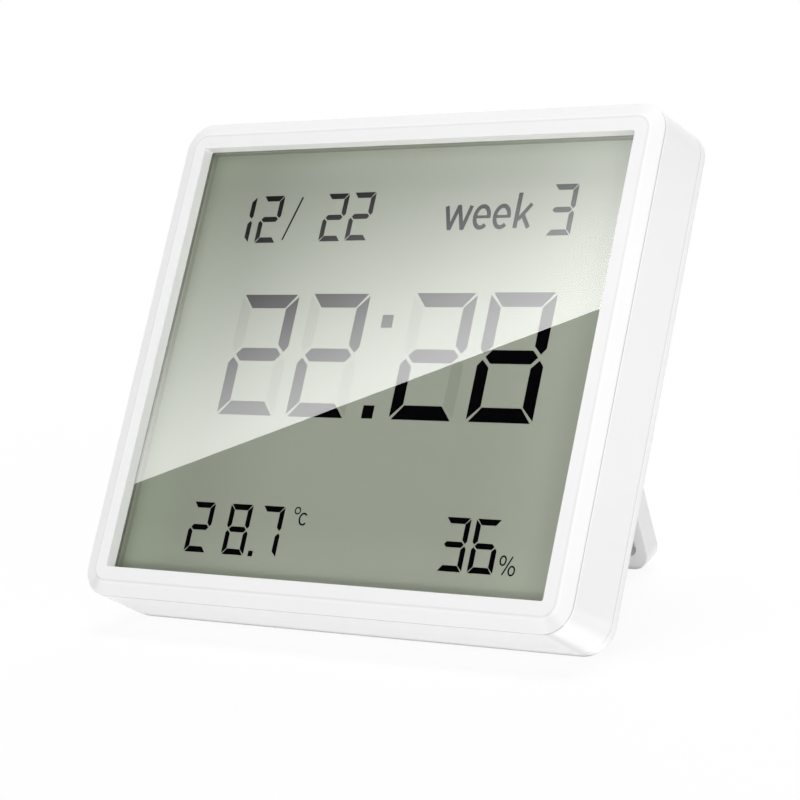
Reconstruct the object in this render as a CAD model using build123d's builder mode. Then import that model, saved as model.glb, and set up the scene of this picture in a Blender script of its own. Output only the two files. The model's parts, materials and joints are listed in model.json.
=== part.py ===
from build123d import *
import os
from math import asin, atan2, cos, degrees, hypot, radians, sin

os.makedirs("parts", exist_ok=True)

# Every size is in millimetres. Widths run along X, heights run up the display face and
# depths run back from the front face, square to it.

# Case
case_width = 90.0          # at the front seam
case_height = 79.1
case_corner = 4.5
case_wall = 1.4
cavity_corner = 2.0
draft_growth = 0.33        # each side grows by this towards the rear seam
chamfer_width = 2.31       # sloping border round the flat band
chamfer_depth = 0.84
band_width = 2.15          # flat band round the opening
seam_land = 0.2            # upright strip between the border and the front seam
cover_edge = 1.8           # side of the rear cover behind the rear seam
rear_round = 0.6
seam_round = 0.22          # front edge of the piece behind each seam
crease_round = 0.5
slip = 0.1                 # clearance between pieces that slide together
overrun = 1.0              # how far a cut runs past the face it opens

# Stand
side_column = 19.0         # of the case beside the stand
stand_thick = 3.7
foot_inset = 5.95          # free end of the folded stand above the lower side
stand_open = 45.3          # degrees between the folded and the open stand
stand_corner = 3.2
stand_rim = 1.8            # wall round the tray
stand_end_rim = 2.5
stand_bar = 6.0            # solid bar between the pin and the tray
stand_skin = 1.0
stand_sunk = 0.1           # folded stand below the rear face
foot_round = 0.2
back_round = 0.3
pin_inset = 15.7           # pin below the upper side
pin_radius = 1.0
pin_length = 2.0
pin_fit = 0.06
stop_gap = 0.03            # open stand to the upper wall of its recess
swing_gap = 0.3            # round the folded stand
tray_gap = 0.4             # between the tray and the island that it folds over

# Display stack, front to back
opening_corner = 0.3
window_sunk = 1.91         # front of the window below the front face
tape_thick = 0.15
tape_width = 1.2
tape_inset = 0.15
window_thick = 0.8
window_lap = 1.6           # how far the window runs behind the band
window_corner = 1.0
gasket_thick = 1.0
gasket_inset = 0.1
film_thick = 0.2           # polariser and reflector
glass_thick = 0.7
film_inset = 0.4           # polariser inside the edge of the front glass
glass_ledge = 1.65         # contact ledge of the front glass below the rear glass
carrier_wall = 1.0
carrier_lip = 1.1
zebra_width = 1.4
zebra_end_gap = 4.0
board_gap = 0.39           # between the reflector and the board
board_thick = 0.8

# Rear cover
cover_skin = 1.4
cover_rim = 1.0
cover_rim_depth = 1.5
tub_floor = 1.0
tub_wall = 1.2
island_skin = 1.2
island_gap = 0.3           # island face to the bottom of the folded tray
hinge_boss = 3.3
hinge_boss_height = 8.0
screw_inset = 2.0          # screw axis from both cavity walls
boss_radius = 2.6
screw_radius = 0.9
screw_head_radius = 1.8
screw_head_thick = 0.8
screw_sunk = 0.1
screw_length = 3.7
screw_slip = 0.15
scoop_radius = 3.6
scoop_depth = 2.2
scoop_straight = 9.0
scoop_wall = 1.0

# Vents, keyhole
vent_count = 7
vent_pitch = 2.6
vent_length = 10.0
vent_width = 1.2
vent_inset = 9.5           # from the left side, seen from the front
vent_height = -2.0
keyhole_lift = 0.3         # round hole above the upper wall of the recess
keyhole_ease = 0.3         # cup round the head of the wall screw
keyhole_radius = 3.2
keyhole_slot = 3.4
keyhole_rise = 3.2
keyhole_room = 3.0         # depth behind the wall for a screw head
keyhole_wall = 0.8

# Keys and switches
key_inset = 9.0            # from the right side
key_top = 12.0             # height of the upper key
key_pitch = 12.0
key_names = ["mode_key", "up_key", "down_key"]
plunger_names = ["mode_plunger", "up_plunger", "down_plunger"]
key_radius = 2.75
key_flange_radius = 3.75
key_flange = 0.8
key_sunk = 0.2
key_dish = 0.25
key_dish_radius = 2.0
key_dish_slope = 45.0      # degrees
key_edge = 0.3
key_fit = 0.15
key_collar = 0.8
key_stem_radius = 1.5
key_stem = 0.4
key_travel = 0.5
switch_size = 6.0
plunger_radius = 1.5
plunger_rise = 0.7
plunger_grip = 1.3         # length of the plunger inside its switch
plunger_fit = 0.05
switch_well = 2.0
switch_corner = 0.5

# Battery bay
cell_radius = 10.0
cell_height = 3.2
cell_lid_inset = 1.1       # raised pole inside the rim of the cell
cell_lid_step = 0.25
cell_edge = 0.4
cell_fit = 0.25
bay_inset = 17.25          # centre of the cell above the lower edge of the island
contact_gap = 0.5          # room for the spring leaf under the cell
well_wall = 1.4
well_gap = 0.1
cap_lap = 1.6              # cap beyond the cell
cap_thick = 1.02
cap_gap = 0.15
cap_press = 0.08           # pad under the cap
cap_press_radius = 6.0
cap_clear = 0.1            # cell to cap
lug_reach = 1.1
lug_thick = 0.5
lug_gap = 0.1
lug_count = 3
lug_angle = 24.0
lug_slack = 2.0            # degrees of play at each end of the turn
cap_turn = 30.0            # degrees from locked to free
bay_wall = 1.0
bay_ring = 2.0             # depth of the ring that holds the lugs
coin_slot_length = 14.0
coin_slot_width = 1.8
coin_slot_depth = 0.6

# Electronics
radio_width = 12.0
radio_length = 16.0
radio_thick = 0.8
radio_inset = 15.0         # middle of the module above the lower side
shield_width = 10.0
shield_length = 10.5
shield_inset = 0.8
shield_thick = 1.6
chip_size = 8.0
chip_thick = 1.0
chip_side = 7.0            # chip and crystal either side of the centre line
chip_gap = 0.85            # to the wall of the battery well
chip_lead = 1.0
chip_lead_thick = 0.2
chip_lead_pitch = 1.0
chip_lead_width = 0.5
chip_lead_count = 7
sensor_size = 2.5
sensor_thick = 0.9
sensor_port = 0.5
sensor_slot_width = 1.0
sensor_slot_room = 2.0
crystal_length = 7.0
crystal_width = 3.0
crystal_thick = 1.0
small_length = 2.0
small_width = 1.25
small_thick = 0.8
small_pitch = 3.4
small_count = 5
small_inset = 3.0
leaf_thick = 0.2
leaf_width = 4.0
leaf_span = 12.0
leaf_crown = 3.0
leaf_foot = 2.0
clip_thick = 0.3
clip_width = 5.0
clip_rise = 1.8
clip_foot = 1.6
hook_width = 4.0
hook_reach = 0.7
hook_thick = 0.6
hook_spread_share = 0.5    # hooks stand this share of the way from the middle to a corner
notch_gap = 0.2

# Sizes that follow from these
half_width = case_width / 2
half_height = case_height / 2
front_seam = chamfer_depth + seam_land
rear_half_width = half_width + draft_growth
rear_half_height = half_height + draft_growth
rear_corner = case_corner + draft_growth
cavity_half_width = half_width - case_wall
cavity_half_height = half_height - case_wall
opening_width = case_width - 2 * (chamfer_width + band_width)
opening_height = case_height - 2 * (chamfer_width + band_width)
lip_depth = window_sunk - tape_thick
window_back = window_sunk + window_thick
display_front = window_back + gasket_thick
front_glass_front = display_front + film_thick
rear_glass_front = front_glass_front + glass_thick
reflector_front = rear_glass_front + glass_thick
board_front = reflector_front + film_thick + board_gap
board_back = board_front + board_thick
cell_front = board_back + contact_gap
cell_back = cell_front + cell_height
cap_front = cell_back + cap_clear + cap_press
cell_lid_radius = cell_radius - cell_lid_inset
cap_radius = cell_radius + cap_lap
island_depth = cap_front + cap_thick
case_depth = island_depth + island_gap + stand_skin + stand_sunk
rear_seam = case_depth - cover_edge
skin_front = case_depth - cover_skin
half_thick = stand_thick / 2
stand_half_width = half_width - side_column
pin_depth = case_depth - stand_sunk - half_thick
pin_height = half_height - pin_inset
stand_reach = pin_height + half_height - foot_inset
recess_depth = case_depth - stand_sunk - stand_thick - swing_gap
recess_half_width = stand_half_width + swing_gap
recess_top = pin_height + half_thick + stop_gap
recess_bottom = pin_height - stand_reach - swing_gap
tub_front = recess_depth - tub_floor

# How far the case leans back: its rear lower edge and the foot of the stand share one floor
opening_angle = radians(stand_open)
edge_depth = case_depth - rear_round
edge_height = rear_round - rear_half_height
foot_along = stand_reach - foot_round
foot_across = half_thick - foot_round
foot_depth = pin_depth + foot_along * sin(opening_angle) - foot_across * cos(opening_angle)
foot_height = pin_height - foot_along * cos(opening_angle) - foot_across * sin(opening_angle)
foot_run = foot_depth - edge_depth
foot_rise = foot_height - edge_height
lean = atan2(foot_rise, foot_run) + asin((rear_round - foot_round) / hypot(foot_run, foot_rise))
stand_lean = opening_angle - lean


def leaned_y(depth, height):
    return depth * cos(lean) + height * sin(lean)


def leaned_z(depth, height):
    return height * cos(lean) - depth * sin(lean)


# The origin is on the floor, under the middle of the whole part
front_limit = leaned_y(front_seam, -half_height)
back_limit = (
    leaned_y(pin_depth, pin_height)
    + (stand_reach - back_round) * sin(stand_lean)
    + (half_thick - back_round) * cos(stand_lean)
    + back_round
)
face_y = -(front_limit + back_limit) / 2
face_z = rear_round - leaned_z(edge_depth, edge_height)
face = Plane(origin=(0, face_y, face_z), x_dir=(1, 0, 0), z_dir=(0, -cos(lean), sin(lean)))
forward = Axis(face.origin, face.z_dir)
pin_y = face_y + leaned_y(pin_depth, pin_height)
pin_z = face_z + leaned_z(pin_depth, pin_height)
stand_plane = Plane(
    origin=(0, pin_y, pin_z), x_dir=(1, 0, 0), z_dir=(0, -cos(stand_lean), -sin(stand_lean))
)


def at(depth):
    """A sketch plane parallel to the face, this far behind it."""
    return face.offset(-depth)


# Front bezel: flat band, sloping border, short land at the seam and a step inside the shell
with BuildPart() as front_bezel:
    with BuildSketch(at(chamfer_depth)):
        RectangleRounded(case_width, case_height, case_corner)
    with BuildSketch(at(0)):
        RectangleRounded(
            case_width - 2 * chamfer_width,
            case_height - 2 * chamfer_width,
            case_corner - chamfer_width,
        )
    loft(ruled=True)
    fillet(front_bezel.edges().group_by(forward)[-1], crease_round)
    with BuildSketch(at(front_seam)):
        RectangleRounded(case_width, case_height, case_corner)
    extrude(amount=front_seam - chamfer_depth)
    with BuildSketch(at(lip_depth)):
        RectangleRounded(
            2 * (cavity_half_width - slip), 2 * (cavity_half_height - slip), cavity_corner - slip
        )
    extrude(amount=lip_depth - front_seam)
    with BuildSketch(at(lip_depth)):
        RectangleRounded(opening_width, opening_height, opening_corner)
    extrude(amount=lip_depth + overrun, mode=Mode.SUBTRACT)
front_bezel.part.label = "front_bezel"

# Adhesive frame between the lip of the bezel and the window
tape_inner_width = opening_width + 2 * tape_inset
tape_inner_height = opening_height + 2 * tape_inset
with BuildPart() as window_tape:
    with BuildSketch(at(window_sunk)):
        Rectangle(tape_inner_width + 2 * tape_width, tape_inner_height + 2 * tape_width)
        Rectangle(tape_inner_width, tape_inner_height, mode=Mode.SUBTRACT)
    extrude(amount=tape_thick)
window_tape.part.label = "window_tape"

window_width = opening_width + 2 * window_lap
window_height = opening_height + 2 * window_lap
with BuildPart() as display_window:
    with BuildSketch(at(window_back)):
        RectangleRounded(window_width, window_height, window_corner)
    extrude(amount=window_thick)
display_window.part.label = "display_window"

with BuildPart() as window_gasket:
    with BuildSketch(at(display_front)):
        RectangleRounded(window_width, window_height, window_corner)
        Rectangle(
            opening_width + 2 * gasket_inset, opening_height + 2 * gasket_inset, mode=Mode.SUBTRACT
        )
    extrude(amount=gasket_thick)
window_gasket.part.label = "window_gasket"

# Display: polariser, two glass plates and reflector. The front plate is longer below and
# carries the contacts on its ledge
carrier_half_width = cavity_half_width - 2 * slip
carrier_half_height = cavity_half_height - 2 * slip
carrier_inner_half_width = carrier_half_width - carrier_wall
carrier_inner_half_height = carrier_half_height - carrier_wall
glass_width = 2 * (carrier_inner_half_width - slip)
glass_top = carrier_inner_half_height - slip
film_width = glass_width - 2 * film_inset
film_top = glass_top - film_inset
film_bottom = glass_ledge - glass_top
reflector_top = carrier_inner_half_height - carrier_lip - slip
with BuildPart() as display_polariser:
    with BuildSketch(at(front_glass_front)):
        with Locations((0, (film_top + film_bottom) / 2)):
            Rectangle(film_width, film_top - film_bottom)
    extrude(amount=film_thick)
display_polariser.part.label = "display_polariser"

with BuildPart() as front_glass:
    with BuildSketch(at(rear_glass_front)):
        Rectangle(glass_width, 2 * glass_top)
    extrude(amount=glass_thick)
front_glass.part.label = "front_glass"

with BuildPart() as rear_glass:
    with BuildSketch(at(reflector_front)):
        with Locations((0, (glass_top + film_bottom) / 2)):
            Rectangle(glass_width, glass_top - film_bottom)
    extrude(amount=glass_thick)
rear_glass.part.label = "rear_glass"

with BuildPart() as display_reflector:
    with BuildSketch(at(reflector_front + film_thick)):
        with Locations((0, (reflector_top + film_bottom) / 2)):
            Rectangle(
                2 * (carrier_inner_half_width - carrier_lip - slip), reflector_top - film_bottom
            )
    extrude(amount=film_thick)
display_reflector.part.label = "display_reflector"

# Contact strip from the ledge of the front glass to the board
zebra_top = film_bottom - (glass_ledge - zebra_width) / 2
zebra_middle = zebra_top - zebra_width / 2
zebra_length = glass_width - 2 * zebra_end_gap
with BuildPart() as zebra_strip:
    with BuildSketch(at(board_front)):
        with Locations((0, zebra_middle)):
            Rectangle(zebra_length, zebra_width)
    extrude(amount=board_front - rear_glass_front)
zebra_strip.part.label = "zebra_strip"

# Carrier: frame round the glass, lip behind it and hooks that catch the board
hook_side_height = carrier_half_height * hook_spread_share
hook_end_side = carrier_half_width * hook_spread_share
hook_back = board_back + well_gap + hook_thick
side_hooks = [
    (-1, -hook_side_height),
    (-1, hook_side_height),
    (1, -hook_side_height),
    (1, hook_side_height),
]
end_hooks = [(-hook_end_side, 1), (hook_end_side, 1)]
with BuildPart() as display_carrier:
    with BuildSketch(at(board_front)):
        RectangleRounded(2 * carrier_half_width, 2 * carrier_half_height, cavity_corner - slip)
        Rectangle(2 * carrier_inner_half_width, 2 * carrier_inner_half_height, mode=Mode.SUBTRACT)
    extrude(amount=board_front - display_front)
    with BuildSketch(at(board_front)):
        RectangleRounded(2 * carrier_half_width, 2 * carrier_half_height, cavity_corner - slip)
        Rectangle(
            2 * (carrier_inner_half_width - carrier_lip),
            2 * (carrier_inner_half_height - carrier_lip),
            mode=Mode.SUBTRACT,
        )
        with Locations((0, zebra_middle - slip)):
            Rectangle(zebra_length + 2 * slip, zebra_width + 4 * slip, mode=Mode.SUBTRACT)
    extrude(amount=board_front - reflector_front)
    with BuildSketch(at(hook_back)):
        for side, height in side_hooks:
            with Locations((side * (carrier_half_width - carrier_wall / 2), height)):
                Rectangle(carrier_wall, hook_width)
        for side, end in end_hooks:
            with Locations((side, end * (carrier_half_height - carrier_wall / 2))):
                Rectangle(hook_width, carrier_wall)
    extrude(amount=hook_back - board_front)
    with BuildSketch(at(hook_back)):
        for side, height in side_hooks:
            with Locations((side * (carrier_inner_half_width - hook_reach / 2), height)):
                Rectangle(hook_reach, hook_width)
        for side, end in end_hooks:
            with Locations((side, end * (carrier_inner_half_height - hook_reach / 2))):
                Rectangle(hook_width, hook_reach)
    extrude(amount=hook_thick)
display_carrier.part.label = "display_carrier"

# Circuit board, notched for the hooks, with milled slots that keep heat from the sensor
vent_side = half_width - vent_inset
notch_depth = carrier_wall + notch_gap
sensor_slot_half = sensor_size / 2 + sensor_slot_room
board_half_width = carrier_half_width - slip
board_half_height = carrier_half_height - slip
with BuildPart() as main_board:
    with BuildSketch(at(board_back)):
        RectangleRounded(2 * board_half_width, 2 * board_half_height, cavity_corner - 2 * slip)
        for side, height in side_hooks:
            with Locations((side * (carrier_half_width - notch_depth / 2), height)):
                Rectangle(notch_depth, hook_width + 2 * notch_gap, mode=Mode.SUBTRACT)
        for side, end in end_hooks:
            with Locations((side, end * (carrier_half_height - notch_depth / 2))):
                Rectangle(hook_width + 2 * notch_gap, notch_depth, mode=Mode.SUBTRACT)
        with Locations(
            (-vent_side, vent_height + sensor_slot_half), (-vent_side, vent_height - sensor_slot_half)
        ):
            SlotOverall(2 * sensor_slot_half, sensor_slot_width, mode=Mode.SUBTRACT)
        with Locations((sensor_slot_half - vent_side, vent_height)):
            SlotOverall(
                2 * sensor_slot_half - 2 * sensor_slot_width,
                sensor_slot_width,
                rotation=90,
                mode=Mode.SUBTRACT,
            )
    extrude(amount=board_thick)
main_board.part.label = "main_board"

# Radio module with its shield can, its aerial end towards the lower corner
radio_height = radio_inset - half_height
with BuildPart() as radio_board:
    with BuildSketch(at(board_back + radio_thick)):
        with Locations((-vent_side, radio_height)):
            Rectangle(radio_width, radio_length)
    extrude(amount=radio_thick)
radio_board.part.label = "radio_board"

shield_back = board_back + radio_thick + shield_thick
with BuildPart() as radio_shield:
    with BuildSketch(at(shield_back)):
        with Locations(
            (-vent_side, radio_height + (radio_length - shield_length) / 2 - shield_inset)
        ):
            Rectangle(shield_width, shield_length)
    extrude(amount=shield_thick)
    chamfer(radio_shield.faces().sort_by(forward)[0].edges(), leaf_thick)
radio_shield.part.label = "radio_shield"

# Places that the stand's tray gives: the island that it folds over, and the battery bay on it
tray_half_width = stand_half_width - stand_rim
tray_top = pin_height - stand_bar
tray_bottom = pin_height - stand_reach + stand_end_rim
island_half_width = tray_half_width - tray_gap
island_top = tray_top - tray_gap
island_bottom = tray_bottom + tray_gap
bay_height = island_bottom + bay_inset
well_radius = cell_radius + cell_fit

# Controller chip with its rows of leads
chip_height = bay_height + well_radius + well_wall + chip_gap + chip_size / 2 + chip_lead
with BuildPart() as controller_chip:
    with BuildSketch(at(board_back + chip_thick)):
        with Locations((-chip_side, chip_height)):
            Rectangle(chip_size, chip_size)
    extrude(amount=chip_thick)
    with BuildSketch(at(board_back + chip_lead_thick)):
        with Locations((-chip_side, chip_height)):
            with GridLocations(0, chip_lead_pitch, 1, chip_lead_count):
                Rectangle(chip_size + 2 * chip_lead, chip_lead_width)
            with GridLocations(chip_lead_pitch, 0, chip_lead_count, 1):
                Rectangle(chip_lead_width, chip_size + 2 * chip_lead)
    extrude(amount=chip_lead_thick)
controller_chip.part.label = "controller_chip"

# Temperature and humidity sensor behind the vents
with BuildPart() as climate_sensor:
    with BuildSketch(at(board_back + sensor_thick)):
        with Locations((-vent_side, vent_height)):
            Rectangle(sensor_size, sensor_size)
    extrude(amount=sensor_thick)
    with BuildSketch(at(board_back + sensor_thick)):
        with Locations((-vent_side, vent_height)):
            Circle(sensor_port)
    extrude(amount=sensor_thick / 2, mode=Mode.SUBTRACT)
climate_sensor.part.label = "climate_sensor"

# Crystal and small parts on the board
small_side = island_half_width - small_inset
with BuildPart() as board_parts:
    with BuildSketch(at(board_back + crystal_thick)):
        with Locations((chip_side, chip_height)):
            SlotOverall(crystal_length, crystal_width, rotation=90)
    extrude(amount=crystal_thick)
    with BuildSketch(at(board_back + small_thick)):
        with Locations((small_side, bay_height), (-small_side, bay_height)):
            with GridLocations(0, small_pitch, 1, small_count):
                Rectangle(small_length, small_width)
        with Locations((-vent_side, key_top + small_pitch)):
            with GridLocations(small_pitch, small_pitch, 2, 2):
                Rectangle(small_length, small_width)
    extrude(amount=small_thick)
board_parts.part.label = "board_parts"

# Shell: side walls that widen a little to the rear, with four screw bosses behind the board
boss_x = cavity_half_width - screw_inset
boss_y = cavity_half_height - screw_inset
boss_places = [(-boss_x, -boss_y), (boss_x, -boss_y), (-boss_x, boss_y), (boss_x, boss_y)]
boss_front = board_back + slip
screw_seat = case_depth - screw_sunk - screw_head_thick
screw_tip = screw_seat - screw_length
with BuildPart() as body_shell:
    with BuildSketch(at(front_seam)):
        RectangleRounded(case_width, case_height, case_corner)
    with BuildSketch(at(rear_seam)):
        RectangleRounded(2 * rear_half_width, 2 * rear_half_height, rear_corner)
    loft(ruled=True)
    fillet(body_shell.edges().group_by(forward)[-1], seam_round)
    with BuildSketch(at(rear_seam)):
        RectangleRounded(2 * cavity_half_width, 2 * cavity_half_height, cavity_corner)
    extrude(amount=rear_seam, mode=Mode.SUBTRACT)
    with BuildSketch(at(rear_seam)):
        with Locations(boss_places):
            Circle(boss_radius)
    extrude(amount=rear_seam - boss_front)
    with BuildSketch(at(rear_seam)):
        with Locations(boss_places):
            Circle(screw_radius + slip / 2)
    extrude(amount=rear_seam - screw_tip + slip, mode=Mode.SUBTRACT)
body_shell.part.label = "body_shell"

# Rear cover: skin, rim, stand recess with its island, battery bay, keyhole, vents and key holes
island_corner = stand_corner - stand_rim - tray_gap
socket_depth = pin_length + slip
well_front = board_back + well_gap
lug_radius = cap_radius + lug_reach
bay_radius = lug_radius + lug_gap + bay_wall
bay_ring_front = cap_front - bay_ring
lug_room_front = cap_front - lug_gap
roof_front = cap_front + lug_thick + lug_gap
lug_step = 360 / lug_count
keyhole_height = recess_top + tub_wall + keyhole_lift + keyhole_radius
key_side = half_width - key_inset
key_places = [(key_side, key_top - key_pitch * number) for number in range(len(key_names))]
key_back = case_depth - key_sunk
key_flange_back = skin_front - slip
collar_front = key_flange_back - key_flange
scoop_center = case_depth + scoop_radius - scoop_depth
with BuildPart(face) as rear_cover:
    with BuildSketch(at(case_depth)):
        RectangleRounded(2 * rear_half_width, 2 * rear_half_height, rear_corner)
    extrude(amount=case_depth - rear_seam)
    fillet(rear_cover.edges().group_by(forward)[0], rear_round)
    fillet(rear_cover.edges().group_by(forward)[-1], seam_round)
    with BuildSketch(at(rear_seam)):
        RectangleRounded(
            2 * (cavity_half_width - slip - cover_rim),
            2 * (cavity_half_height - slip - cover_rim),
            cavity_corner - slip - cover_rim,
        )
        with Locations(boss_places):
            Circle(boss_radius, mode=Mode.SUBTRACT)
    extrude(amount=rear_seam - skin_front, mode=Mode.SUBTRACT)
    with BuildSketch(at(rear_seam)):
        RectangleRounded(
            2 * (cavity_half_width - slip), 2 * (cavity_half_height - slip), cavity_corner - slip
        )
        RectangleRounded(
            2 * (cavity_half_width - slip - cover_rim),
            2 * (cavity_half_height - slip - cover_rim),
            cavity_corner - slip - cover_rim,
            mode=Mode.SUBTRACT,
        )
        with Locations(boss_places):
            Circle(boss_radius + swing_gap, mode=Mode.SUBTRACT)
    extrude(amount=cover_rim_depth)
    # tub that the stand folds into, its hinge bosses and the pad behind the finger scoop
    with BuildSketch(at(skin_front)):
        with Locations((0, (recess_top + recess_bottom) / 2)):
            Rectangle(2 * (recess_half_width + tub_wall), recess_top - recess_bottom + 2 * tub_wall)
            fillet(vertices().group_by(Axis.Y)[0], stand_corner + swing_gap + tub_wall)
        with Locations((0, pin_height)):
            Rectangle(2 * (recess_half_width + hinge_boss), hinge_boss_height)
    extrude(amount=skin_front - tub_front)
    with BuildSketch(at(skin_front)):
        with Locations((0, recess_bottom)):
            Rectangle(
                scoop_straight + 2 * (scoop_radius + scoop_wall), 2 * (scoop_radius - scoop_wall)
            )
    extrude(amount=scoop_depth)
    with BuildSketch(at(case_depth)):
        with Locations((0, (recess_top + recess_bottom) / 2)):
            Rectangle(2 * recess_half_width, recess_top - recess_bottom)
            fillet(vertices().group_by(Axis.Y)[0], stand_corner + swing_gap)
    extrude(amount=case_depth - recess_depth, mode=Mode.SUBTRACT)
    with BuildSketch(at(island_depth)):
        with Locations((0, (island_top + island_bottom) / 2)):
            RectangleRounded(2 * island_half_width, island_top - island_bottom, island_corner)
    extrude(amount=island_depth - recess_depth)
    with BuildSketch(at(tub_front)):
        with Locations((0, (island_top + island_bottom) / 2)):
            RectangleRounded(
                2 * (island_half_width - island_skin),
                island_top - island_bottom - 2 * island_skin,
                island_corner / 2,
            )
    extrude(amount=tub_front - (island_depth - island_skin), mode=Mode.SUBTRACT)
    with Locations(
        (recess_half_width + socket_depth / 2, pin_height, -pin_depth),
        (-recess_half_width - socket_depth / 2, pin_height, -pin_depth),
    ):
        Cylinder(pin_radius + pin_fit, socket_depth, rotation=(0, 90, 0), mode=Mode.SUBTRACT)
    with Locations((0, recess_bottom, -scoop_center)):
        Cylinder(scoop_radius, scoop_straight, rotation=(0, 90, 0), mode=Mode.SUBTRACT)
    with Locations(
        (scoop_straight / 2, recess_bottom, -scoop_center),
        (-scoop_straight / 2, recess_bottom, -scoop_center),
    ):
        Sphere(scoop_radius, mode=Mode.SUBTRACT)
    # battery bay: well for the cell, ring for the lugs of the cap and a slot for the side contact
    with BuildSketch(at(island_depth)):
        with Locations((0, bay_height)):
            Circle(bay_radius)
    extrude(amount=island_depth - bay_ring_front)
    with BuildSketch(at(bay_ring_front)):
        with Locations((0, bay_height)):
            Circle(well_radius + well_wall)
    extrude(amount=bay_ring_front - well_front)
    with BuildSketch(at(island_depth)):
        with Locations((0, bay_height)):
            Circle(well_radius)
    extrude(amount=island_depth - well_front + overrun, mode=Mode.SUBTRACT)
    with BuildSketch(at(island_depth)):
        with Locations((0, bay_height)):
            Circle(cap_radius + cap_gap)
    extrude(amount=island_depth - lug_room_front, mode=Mode.SUBTRACT)
    with BuildSketch(at(roof_front)):
        with Locations((0, bay_height)):
            Circle(lug_radius + lug_gap)
            for number in range(lug_count):
                wall_middle = lug_step * number + (lug_step - cap_turn) / 2
                wall_half = (lug_step - cap_turn - lug_angle) / 2 - lug_slack
                with BuildLine():
                    rim = CenterArc((0, bay_height), 2 * lug_radius, wall_middle - wall_half, 2 * wall_half)
                    Line(rim @ 1, (0, bay_height))
                    Line((0, bay_height), rim @ 0)
                make_face(mode=Mode.SUBTRACT)
    extrude(amount=roof_front - lug_room_front, mode=Mode.SUBTRACT)
    with BuildSketch(at(island_depth)):
        for number in range(lug_count):
            notch_start = lug_step * number - cap_turn - lug_angle / 2 - lug_slack
            with BuildLine():
                rim = CenterArc(
                    (0, bay_height), lug_radius + lug_gap, notch_start, lug_angle + 2 * lug_slack
                )
                Line(rim @ 1, (0, bay_height))
                Line((0, bay_height), rim @ 0)
            make_face()
    extrude(amount=island_depth - lug_room_front, mode=Mode.SUBTRACT)
    with BuildSketch(at(bay_ring_front)):
        with Locations((well_radius + well_wall / 2, bay_height)):
            Rectangle(2 * well_wall, clip_width + 4 * slip)
    extrude(amount=bay_ring_front - well_front, mode=Mode.SUBTRACT)
    # keyhole with a closed cup for the head of the wall screw
    with BuildSketch(at(skin_front)):
        with Locations((0, keyhole_height + keyhole_rise / 2)):
            Rectangle(
                2 * (keyhole_radius + keyhole_ease + keyhole_wall),
                keyhole_rise + 2 * (keyhole_radius + keyhole_ease + keyhole_wall),
            )
    extrude(amount=keyhole_room + keyhole_wall)
    with BuildSketch(at(skin_front)):
        with Locations((0, keyhole_height + keyhole_rise / 2)):
            SlotOverall(
                keyhole_rise + 2 * (keyhole_radius + keyhole_ease),
                2 * (keyhole_radius + keyhole_ease),
                rotation=90,
            )
    extrude(amount=keyhole_room, mode=Mode.SUBTRACT)
    with BuildSketch(at(case_depth)):
        with Locations((0, keyhole_height)):
            Circle(keyhole_radius)
        with Locations((0, keyhole_height + keyhole_rise / 2)):
            SlotOverall(keyhole_rise + keyhole_slot, keyhole_slot, rotation=90)
    extrude(amount=cover_skin, mode=Mode.SUBTRACT)
    # vents over the sensor
    with BuildSketch(at(case_depth)):
        with Locations((-vent_side, vent_height)):
            with GridLocations(0, vent_pitch, 1, vent_count):
                SlotOverall(vent_length, vent_width)
    extrude(amount=cover_skin, mode=Mode.SUBTRACT)
    # guide collars and holes for the keys
    with BuildSketch(at(skin_front)):
        with Locations(key_places):
            Circle(key_flange_radius + key_fit + key_collar)
    extrude(amount=skin_front - collar_front)
    with BuildSketch(at(skin_front)):
        with Locations(key_places):
            Circle(key_flange_radius + key_fit)
    extrude(amount=skin_front - collar_front, mode=Mode.SUBTRACT)
    with BuildSketch(at(case_depth)):
        with Locations(key_places):
            Circle(key_radius + key_fit)
    extrude(amount=cover_skin, mode=Mode.SUBTRACT)
    # screw holes
    with BuildSketch(at(case_depth)):
        with Locations(boss_places):
            Circle(screw_radius + screw_slip)
    extrude(amount=case_depth - rear_seam, mode=Mode.SUBTRACT)
    with BuildSketch(at(case_depth)):
        with Locations(boss_places):
            Circle(screw_head_radius + screw_slip)
    extrude(amount=case_depth - screw_seat, mode=Mode.SUBTRACT)
rear_cover.part.label = "rear_cover"

with BuildPart() as cover_screws:
    with BuildSketch(at(case_depth - screw_sunk)):
        with Locations(boss_places):
            Circle(screw_head_radius)
    extrude(amount=screw_head_thick)
    with BuildSketch(at(screw_seat)):
        with Locations(boss_places):
            Circle(screw_radius)
    extrude(amount=screw_length)
cover_screws.part.label = "cover_screws"

# Switches on the board, open towards their plungers
plunger_back = collar_front - key_stem
switch_back = plunger_back - plunger_rise
with BuildPart() as key_switches:
    with BuildSketch(at(switch_back)):
        with Locations(key_places):
            RectangleRounded(switch_size, switch_size, switch_corner)
    extrude(amount=switch_back - board_back)
    with BuildSketch(at(switch_back)):
        with Locations(key_places):
            Circle(plunger_radius + plunger_fit)
    extrude(amount=switch_well, mode=Mode.SUBTRACT)
key_switches.part.label = "key_switches"

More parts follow.
